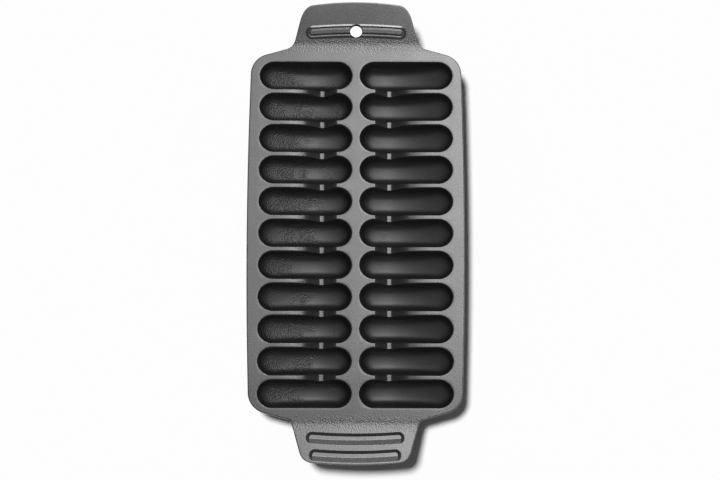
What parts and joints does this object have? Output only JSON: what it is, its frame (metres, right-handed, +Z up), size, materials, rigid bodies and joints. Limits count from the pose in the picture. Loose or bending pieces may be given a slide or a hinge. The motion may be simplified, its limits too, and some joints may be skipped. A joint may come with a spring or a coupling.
{
  "type": "shrimp pan",
  "caption": "Long cast iron pan with rows of round-ended pockets in a flat deck, notched webs that link them, and upswept end handles, one with a hanging hole.",
  "frame": {"origin": "on the resting plane, below the middle of the pan's length and width", "axes": "+Y along the pan towards the handle with the hanging hole, +X across the pan, +Z up out of the pockets"},
  "size_m": [0.168, 0.3554, 0.0296],
  "materials": {
    "deck_iron": "as cast, preseasoned, semi-matt",
    "pocket_iron": "as cast, preseasoned, dark and slightly glossy",
    "handle_iron": "as cast, preseasoned, semi-matt"
  },
  "bodies": {
    "root": {"deck_rim": "deck_iron", "pocket_left_01": "pocket_iron", "pocket_left_02": "pocket_iron", "pocket_left_03": "pocket_iron", "pocket_left_04": "pocket_iron", "pocket_left_05": "pocket_iron", "pocket_left_06": "pocket_iron", "pocket_left_07": "pocket_iron", "pocket_left_08": "pocket_iron", "pocket_left_09": "pocket_iron", "pocket_left_10": "pocket_iron", "pocket_left_11": "pocket_iron", "pocket_right_01": "pocket_iron", "pocket_right_02": "pocket_iron", "pocket_right_03": "pocket_iron", "pocket_right_04": "pocket_iron", "pocket_right_05": "pocket_iron", "pocket_right_06": "pocket_iron", "pocket_right_07": "pocket_iron", "pocket_right_08": "pocket_iron", "pocket_right_09": "pocket_iron", "pocket_right_10": "pocket_iron", "pocket_right_11": "pocket_iron", "rear_handle": "handle_iron", "front_handle": "handle_iron"}
  },
  "joints": []
}
